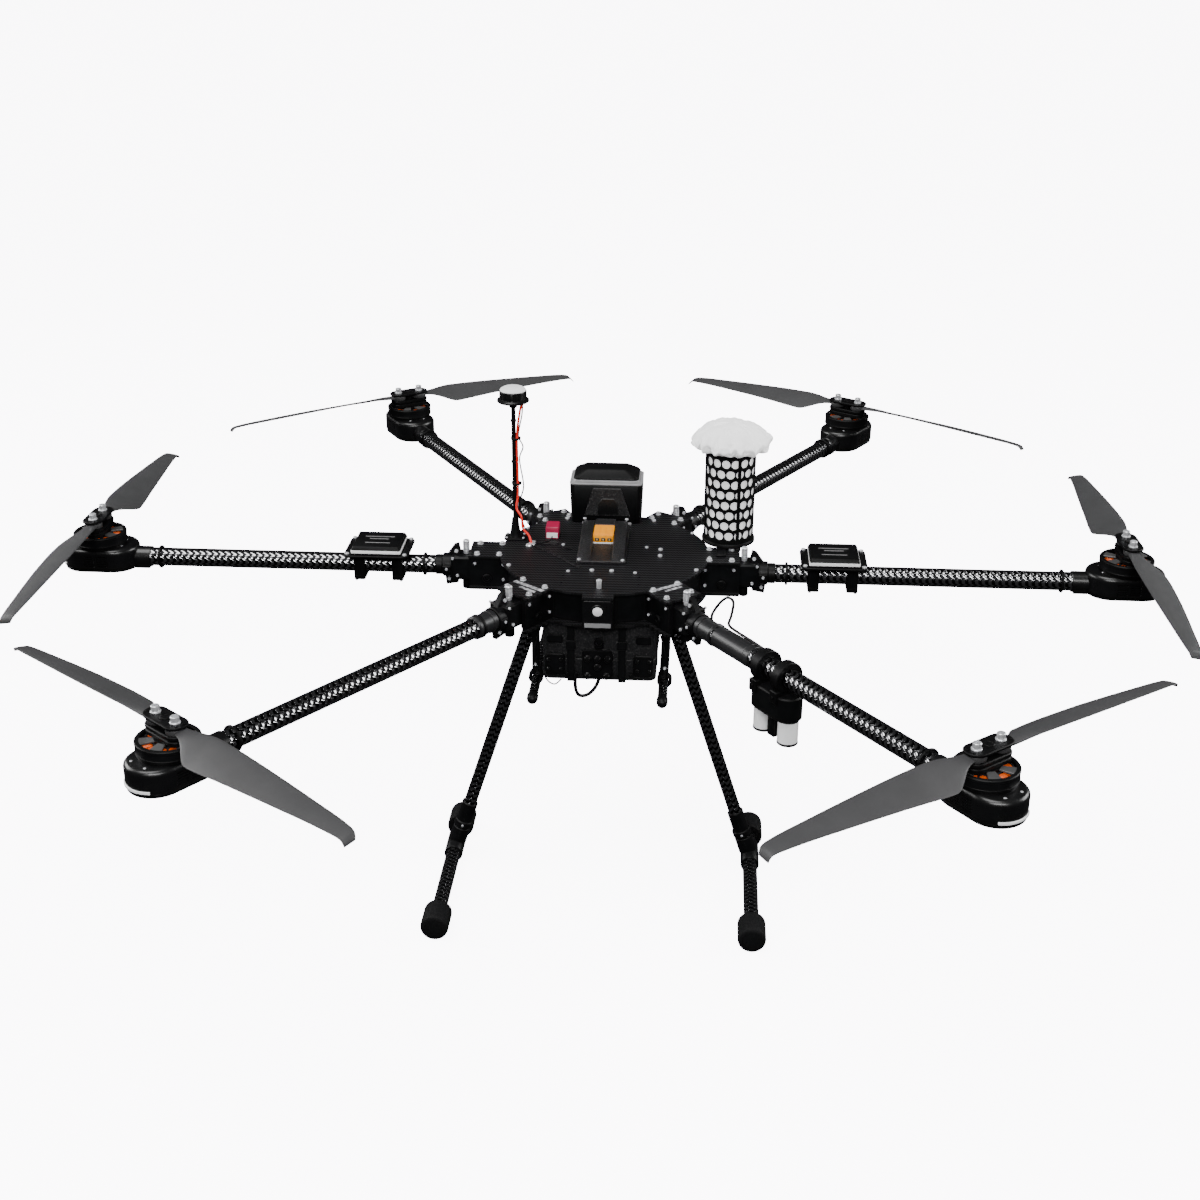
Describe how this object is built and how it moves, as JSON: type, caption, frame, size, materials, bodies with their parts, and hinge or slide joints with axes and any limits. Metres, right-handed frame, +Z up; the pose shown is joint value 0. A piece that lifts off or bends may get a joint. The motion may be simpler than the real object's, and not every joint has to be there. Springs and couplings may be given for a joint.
{
  "type": "six-rotor folding drone",
  "caption": "Large folding carrier drone: carbon hub with fold-down arms, folding propellers, retractable skids, payload rails, antenna mast and parachute canister.",
  "frame": {"origin": "on the ground under the middle of the overall footprint; the hub axis stands 7 mm behind it", "axes": "+Z up, the nose faces -Y, +X is the drone's side with the parachute canister"},
  "size_m": [1.4924, 1.5228, 0.68],
  "materials": {
    "carbon_plate": "satin carbon weave",
    "carbon_tube": "glossy carbon weave",
    "carbon_blade": "satin carbon weave",
    "steel": "satin",
    "black_plastic": "fine moulded texture",
    "black_metal": "black anodised",
    "foam": "matte foam",
    "grey_plastic": "matte",
    "pale_plastic": "satin",
    "yellow_plastic": "satin",
    "maroon_plastic": "satin",
    "cable_rubber": "matte, one lead red",
    "canister_plastic": "matte",
    "canopy_fabric": "thin woven cloth"
  },
  "bodies": {
    "airframe": {"top_plate": "carbon_plate", "bottom_plate": "carbon_plate", "hub_frame": "black_metal", "deck_fasteners": "steel", "flight_controller": "grey_plastic", "hood_body": "black_plastic", "hood_lid": "pale_plastic", "connector_block": "black_plastic", "power_connector": "yellow_plastic", "charge_connector": "maroon_plastic", "mast": "black_plastic", "mast_puck": "black_plastic", "held_cables": "cable_rubber", "parachute_tube": "canister_plastic", "parachute_canopy": "canopy_fabric", "equipment_bay": "black_plastic", "payload_rails": "black_metal"},
    "arm_front_right_body": {"arm_front_right": "carbon_tube", "pod_front_right": "black_plastic", "strobe_light": "black_plastic"},
    "rotor_front_right_body": {"rotor_front_right": "black_metal"},
    "pin_front_right_body": {"pin_front_right": "steel"},
    "blade_a_front_right_body": {"blade_a_front_right": "carbon_blade"},
    "blade_b_front_right_body": {"blade_b_front_right": "carbon_blade"},
    "arm_right_body": {"arm_right": "carbon_tube", "pod_right": "black_plastic", "position_box_right": "black_plastic"},
    "rotor_right_body": {"rotor_right": "black_metal"},
    "pin_right_body": {"pin_right": "steel"},
    "blade_a_right_body": {"blade_a_right": "carbon_blade"},
    "blade_b_right_body": {"blade_b_right": "carbon_blade"},
    "arm_rear_right_body": {"arm_rear_right": "carbon_tube", "pod_rear_right": "black_plastic"},
    "rotor_rear_right_body": {"rotor_rear_right": "black_metal"},
    "pin_rear_right_body": {"pin_rear_right": "steel"},
    "blade_a_rear_right_body": {"blade_a_rear_right": "carbon_blade"},
    "blade_b_rear_right_body": {"blade_b_rear_right": "carbon_blade"},
    "arm_rear_left_body": {"arm_rear_left": "carbon_tube", "pod_rear_left": "black_plastic"},
    "rotor_rear_left_body": {"rotor_rear_left": "black_metal"},
    "pin_rear_left_body": {"pin_rear_left": "steel"},
    "blade_a_rear_left_body": {"blade_a_rear_left": "carbon_blade"},
    "blade_b_rear_left_body": {"blade_b_rear_left": "carbon_blade"},
    "arm_left_body": {"arm_left": "carbon_tube", "pod_left": "black_plastic", "position_box_left": "black_plastic"},
    "rotor_left_body": {"rotor_left": "black_metal"},
    "pin_left_body": {"pin_left": "steel"},
    "blade_a_left_body": {"blade_a_left": "carbon_blade"},
    "blade_b_left_body": {"blade_b_left": "carbon_blade"},
    "arm_front_left_body": {"arm_front_left": "carbon_tube", "pod_front_left": "black_plastic"},
    "rotor_front_left_body": {"rotor_front_left": "black_metal"},
    "pin_front_left_body": {"pin_front_left": "steel"},
    "blade_a_front_left_body": {"blade_a_front_left": "carbon_blade"},
    "blade_b_front_left_body": {"blade_b_front_left": "carbon_blade"},
    "leg_left_body": {"leg_left": "carbon_tube", "feet_left": "foam"},
    "leg_right_body": {"leg_right": "carbon_tube", "feet_right": "foam"}
  },
  "joints": [
    {"name": "fold_arm_front_right", "type": "hinge", "parent": "airframe", "child": "arm_front_right_body", "pos_m": [0.09509, -0.11918, 0.431], "axis": [0.7986, 0.6018, 0], "range_deg": [0, 75]},
    {"name": "spin_front_right", "type": "hinge", "parent": "arm_front_right_body", "child": "rotor_front_right_body", "pos_m": [0.42909, -0.56243, 0.48], "axis": [0, 0, 1], "continuous": true},
    {"name": "pull_pin_front_right", "type": "slide", "parent": "arm_front_right_body", "child": "pin_front_right_body", "axis": [0, 0, 1], "range_m": [0, 0.008], "stiffness_N_per_m": 500, "springref_m": -0.002},
    {"name": "fold_blade_a_front_right", "type": "hinge", "parent": "rotor_front_right_body", "child": "blade_a_front_right_body", "pos_m": [0.443, -0.551, 0.492], "axis": [0, 0, 1], "range_deg": [-75, 75]},
    {"name": "fold_blade_b_front_right", "type": "hinge", "parent": "rotor_front_right_body", "child": "blade_b_front_right_body", "pos_m": [0.41519, -0.57385, 0.492], "axis": [0, 0, -1], "range_deg": [-75, 75]},
    {"name": "fold_arm_right", "type": "hinge", "parent": "airframe", "child": "arm_right_body", "pos_m": [0.158, 0.007, 0.431], "axis": [0, 1, 0], "range_deg": [0, 75]},
    {"name": "spin_right", "type": "hinge", "parent": "arm_right_body", "child": "rotor_right_body", "pos_m": [0.693, 0.007, 0.48], "axis": [0, 0, 1], "continuous": true},
    {"name": "pull_pin_right", "type": "slide", "parent": "arm_right_body", "child": "pin_right_body", "axis": [0, 0, 1], "range_m": [0, 0.008], "stiffness_N_per_m": 500, "springref_m": -0.002},
    {"name": "fold_blade_a_right", "type": "hinge", "parent": "rotor_right_body", "child": "blade_a_right_body", "pos_m": [0.69225, 0.02498, 0.492], "axis": [0, 0, 1], "range_deg": [-75, 75]},
    {"name": "fold_blade_b_right", "type": "hinge", "parent": "rotor_right_body", "child": "blade_b_right_body", "pos_m": [0.69375, -0.01098, 0.492], "axis": [0, 0, -1], "range_deg": [-75, 75]},
    {"name": "fold_arm_rear_right", "type": "hinge", "parent": "airframe", "child": "arm_rear_right_body", "pos_m": [0.07672, 0.13122, 0.431], "axis": [-0.8508, 0.5255, 0], "range_deg": [0, 75]},
    {"name": "spin_rear_right", "type": "hinge", "parent": "arm_rear_right_body", "child": "rotor_rear_right_body", "pos_m": [0.36363, 0.59576, 0.48], "axis": [0, 0, 1], "continuous": true},
    {"name": "pull_pin_rear_right", "type": "slide", "parent": "arm_rear_right_body", "child": "pin_rear_right_body", "axis": [0, 0, 1], "range_m": [0, 0.008], "stiffness_N_per_m": 500, "springref_m": -0.002},
    {"name": "fold_blade_a_rear_right", "type": "hinge", "parent": "rotor_rear_right_body", "child": "blade_a_rear_right_body", "pos_m": [0.34835, 0.60527, 0.492], "axis": [0, 0, 1], "range_deg": [-75, 75]},
    {"name": "fold_blade_b_rear_right", "type": "hinge", "parent": "rotor_rear_right_body", "child": "blade_b_rear_right_body", "pos_m": [0.37891, 0.58625, 0.492], "axis": [0, 0, -1], "range_deg": [-75, 75]},
    {"name": "fold_arm_rear_left", "type": "hinge", "parent": "airframe", "child": "arm_rear_left_body", "pos_m": [-0.07672, 0.13122, 0.431], "axis": [-0.8508, -0.5255, 0], "range_deg": [0, 75]},
    {"name": "spin_rear_left", "type": "hinge", "parent": "arm_rear_left_body", "child": "rotor_rear_left_body", "pos_m": [-0.36363, 0.59576, 0.48], "axis": [0, 0, 1], "continuous": true},
    {"name": "pull_pin_rear_left", "type": "slide", "parent": "arm_rear_left_body", "child": "pin_rear_left_body", "axis": [0, 0, 1], "range_m": [0, 0.008], "stiffness_N_per_m": 500, "springref_m": -0.002},
    {"name": "fold_blade_a_rear_left", "type": "hinge", "parent": "rotor_rear_left_body", "child": "blade_a_rear_left_body", "pos_m": [-0.34835, 0.60527, 0.492], "axis": [0, 0, -1], "range_deg": [-75, 75]},
    {"name": "fold_blade_b_rear_left", "type": "hinge", "parent": "rotor_rear_left_body", "child": "blade_b_rear_left_body", "pos_m": [-0.37891, 0.58625, 0.492], "axis": [0, 0, 1], "range_deg": [-75, 75]},
    {"name": "fold_arm_left", "type": "hinge", "parent": "airframe", "child": "arm_left_body", "pos_m": [-0.158, 0.007, 0.431], "axis": [0, -1, 0], "range_deg": [0, 75]},
    {"name": "spin_left", "type": "hinge", "parent": "arm_left_body", "child": "rotor_left_body", "pos_m": [-0.693, 0.007, 0.48], "axis": [0, 0, 1], "continuous": true},
    {"name": "pull_pin_left", "type": "slide", "parent": "arm_left_body", "child": "pin_left_body", "axis": [0, 0, 1], "range_m": [0, 0.008], "stiffness_N_per_m": 500, "springref_m": -0.002},
    {"name": "fold_blade_a_left", "type": "hinge", "parent": "rotor_left_body", "child": "blade_a_left_body", "pos_m": [-0.69225, 0.02498, 0.492], "axis": [0, 0, -1], "range_deg": [-75, 75]},
    {"name": "fold_blade_b_left", "type": "hinge", "parent": "rotor_left_body", "child": "blade_b_left_body", "pos_m": [-0.69375, -0.01098, 0.492], "axis": [0, 0, 1], "range_deg": [-75, 75]},
    {"name": "fold_arm_front_left", "type": "hinge", "parent": "airframe", "child": "arm_front_left_body", "pos_m": [-0.09509, -0.11918, 0.431], "axis": [0.7986, -0.6018, 0], "range_deg": [0, 75]},
    {"name": "spin_front_left", "type": "hinge", "parent": "arm_front_left_body", "child": "rotor_front_left_body", "pos_m": [-0.42909, -0.56243, 0.48], "axis": [0, 0, 1], "continuous": true},
    {"name": "pull_pin_front_left", "type": "slide", "parent": "arm_front_left_body", "child": "pin_front_left_body", "axis": [0, 0, 1], "range_m": [0, 0.008], "stiffness_N_per_m": 500, "springref_m": -0.002},
    {"name": "fold_blade_a_front_left", "type": "hinge", "parent": "rotor_front_left_body", "child": "blade_a_front_left_body", "pos_m": [-0.443, -0.551, 0.492], "axis": [0, 0, -1], "range_deg": [-75, 75]},
    {"name": "fold_blade_b_front_left", "type": "hinge", "parent": "rotor_front_left_body", "child": "blade_b_front_left_body", "pos_m": [-0.41519, -0.57385, 0.492], "axis": [0, 0, 1], "range_deg": [-75, 75]},
    {"name": "retract_leg_left", "type": "hinge", "parent": "airframe", "child": "leg_left_body", "pos_m": [-0.089, -0.033, 0.398], "axis": [0, 1, 0], "range_deg": [0, 72]},
    {"name": "retract_leg_right", "type": "hinge", "parent": "airframe", "child": "leg_right_body", "pos_m": [0.089, -0.033, 0.398], "axis": [0, -1, 0], "range_deg": [0, 72]}
  ]
}
